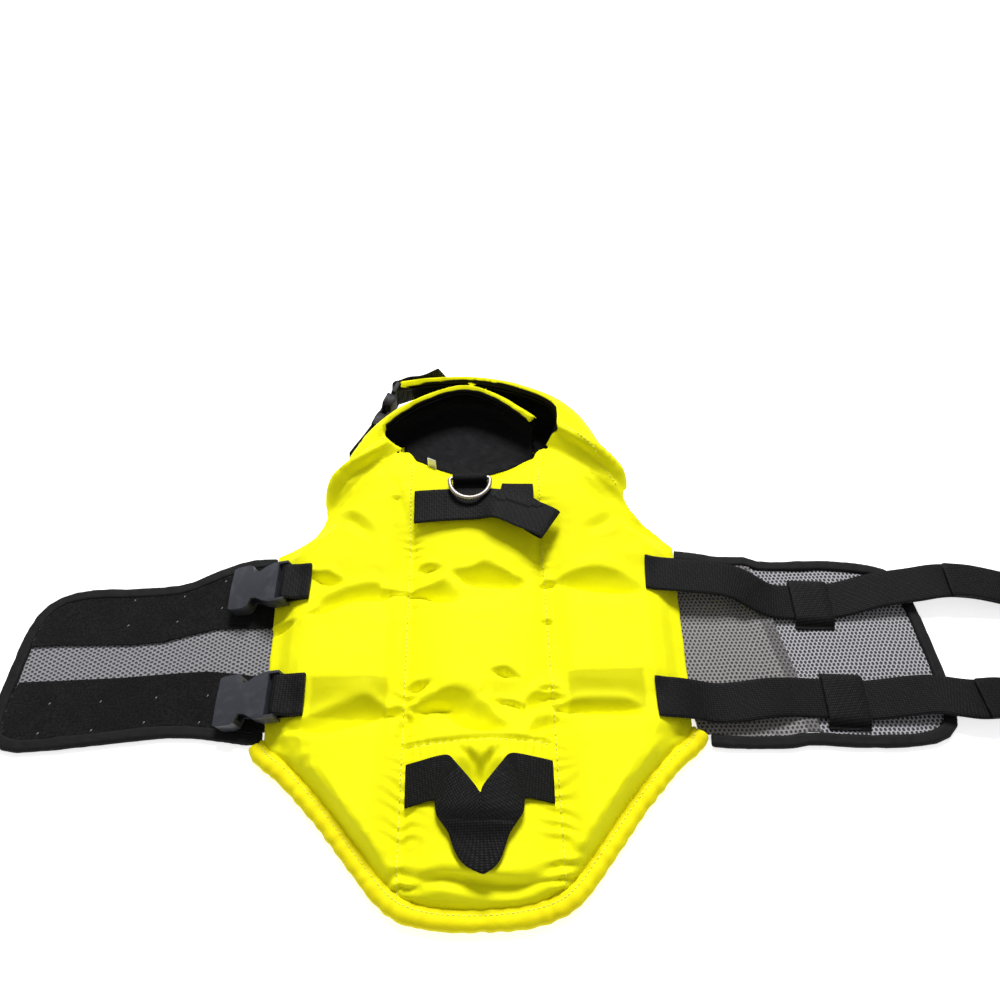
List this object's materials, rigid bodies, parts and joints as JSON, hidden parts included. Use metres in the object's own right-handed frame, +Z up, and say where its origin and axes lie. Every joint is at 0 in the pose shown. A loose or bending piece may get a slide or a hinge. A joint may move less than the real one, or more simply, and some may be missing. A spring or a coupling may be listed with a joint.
{
  "type": "dog life jacket",
  "caption": "Yellow dog life jacket lying flat, neck closed and belly bands spread, with webbing handles, belly straps, a leash ring and side-release buckles",
  "frame": {"origin": "under the middle of the back, on the surface the jacket lies on", "axes": "+X towards the right belly straps, +Y towards the neck, +Z up off the surface"},
  "size_m": [0.7151, 0.3958, 0.045],
  "materials": {
    "yellow_nylon": "coated nylon plain weave, slightly shiny",
    "lining_nylon": "black nylon lining, slightly shiny",
    "grey_net": "knitted spacer net",
    "loop_pile": "hook-and-loop pile, matt",
    "edge_tape": "woven binding tape",
    "webbing": "ribbed polyester webbing",
    "buckle_plastic": "moulded acetal, satin",
    "ring_steel": "plated steel wire, polished",
    "white_tape": "blank woven tape"
  },
  "bodies": {
    "jacket": {"back_centre": "yellow_nylon", "back_left": "yellow_nylon", "back_right": "yellow_nylon", "tail_binding": "yellow_nylon", "left_flap": "yellow_nylon", "right_flap": "yellow_nylon", "left_flap_lining": "lining_nylon", "right_flap_lining": "lining_nylon", "left_band_mesh": "grey_net", "right_mesh_root": "grey_net", "right_mesh_end": "grey_net", "left_loop_upper": "loop_pile", "left_loop_lower": "loop_pile", "left_band_binding": "edge_tape", "right_band_binding": "edge_tape", "right_strap_upper": "webbing", "right_strap_lower": "webbing", "keeper_upper": "webbing", "keeper_lower": "webbing", "left_loop_web_upper": "webbing", "left_loop_web_lower": "webbing", "upper_handle": "webbing", "lower_handle": "webbing", "d_ring_tab": "webbing", "neck_strap": "webbing", "neck_web": "webbing", "male_buckle_upper": "buckle_plastic", "male_buckle_lower": "buckle_plastic", "neck_buckle_socket": "buckle_plastic", "neck_buckle_plug": "buckle_plastic", "neck_tab": "white_tape"},
    "d_ring": {"d_ring": "ring_steel"},
    "female_buckle_upper": {"female_buckle_upper": "buckle_plastic"},
    "female_buckle_lower": {"female_buckle_lower": "buckle_plastic"}
  },
  "joints": [
    {"name": "d_ring_swing", "type": "hinge", "parent": "jacket", "child": "d_ring", "pos_m": [-0.0035, 0.1315, 0.03338], "axis": [-1, 0, 0], "range_deg": [0, 150]},
    {"name": "female_buckle_upper_swing", "type": "hinge", "parent": "jacket", "child": "female_buckle_upper", "pos_m": [-0.127, 0.057, 0.0189], "axis": [0, 1, 0], "range_deg": [0, 100]},
    {"name": "female_buckle_lower_swing", "type": "hinge", "parent": "jacket", "child": "female_buckle_lower", "pos_m": [-0.1225, -0.0228, 0.0189], "axis": [0, 1, 0], "range_deg": [0, 100]}
  ]
}
